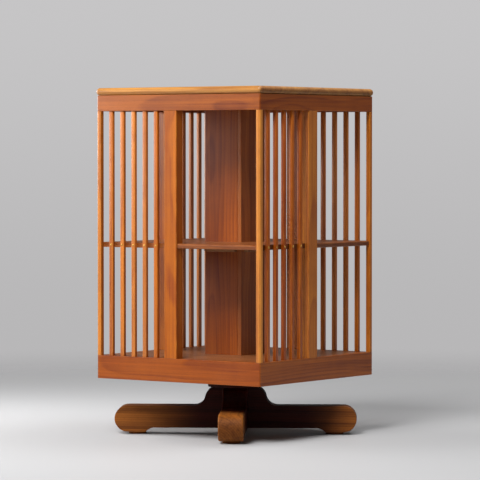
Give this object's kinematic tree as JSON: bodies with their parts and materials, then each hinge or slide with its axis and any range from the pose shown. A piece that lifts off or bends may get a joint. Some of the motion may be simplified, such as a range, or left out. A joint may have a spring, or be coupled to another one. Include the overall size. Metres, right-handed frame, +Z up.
{
  "type": "revolving bookcase",
  "caption": "Square wooden bookcase in two tiers with slatted ends and open bays, turning on a steel spindle over a cross-shaped foot.",
  "frame": {"origin": "on the floor, at the axis the case turns about", "axes": "+Z up along the axis; the case's sides lie along X and Y at rest, -Y is the front"},
  "size_m": [0.5274, 0.5274, 0.842],
  "materials": {
    "foot_wood": "dark brown polished hardwood, satin",
    "case_wood": "warm orange-brown polished hardwood, satin",
    "slat_wood": "warm light brown polished hardwood, satin",
    "inner_wood": "plain brown hardwood, matt",
    "iron": "black japanned cast iron",
    "steel": "turned and oiled steel",
    "brass": "turned brass"
  },
  "bodies": {
    "foot": {"foot_beam_lower": "foot_wood", "foot_beam_upper": "foot_wood", "hub_disc": "foot_wood", "foot_pad_front": "foot_wood", "foot_pad_right": "foot_wood", "foot_pad_back": "foot_wood", "foot_pad_left": "foot_wood", "spindle_flange": "iron", "flange_screws": "steel", "spindle": "steel", "spindle_washer": "steel", "spindle_nut": "steel"},
    "case": {"bottom_board": "case_wood", "mid_shelf": "case_wood", "top_board": "case_wood", "plinth_blocks": "inner_wood", "guide_block": "inner_wood", "shelf_cleats": "inner_wood", "frieze_blocks": "inner_wood", "pivot_block": "inner_wood", "plinth_rail_front": "case_wood", "corner_post_front": "case_wood", "face_post_front": "case_wood", "frieze_rail_front": "case_wood", "core_board_front": "case_wood", "slats_front": "slat_wood", "plinth_rail_right": "case_wood", "corner_post_right": "case_wood", "face_post_right": "case_wood", "frieze_rail_right": "case_wood", "core_board_right": "case_wood", "slats_right": "slat_wood", "plinth_rail_back": "case_wood", "corner_post_back": "case_wood", "face_post_back": "case_wood", "frieze_rail_back": "case_wood", "core_board_back": "case_wood", "slats_back": "slat_wood", "plinth_rail_left": "case_wood", "corner_post_left": "case_wood", "face_post_left": "case_wood", "frieze_rail_left": "case_wood", "core_board_left": "case_wood", "slats_left": "slat_wood", "guide_bush": "brass", "slat_pins": "brass", "pivot_cup": "steel", "cup_screws": "steel"}
  },
  "joints": [
    {"name": "case_turn", "type": "hinge", "parent": "foot", "child": "case", "pos_m": [0, 0, 0], "axis": [0, 0, 1], "continuous": true}
  ]
}
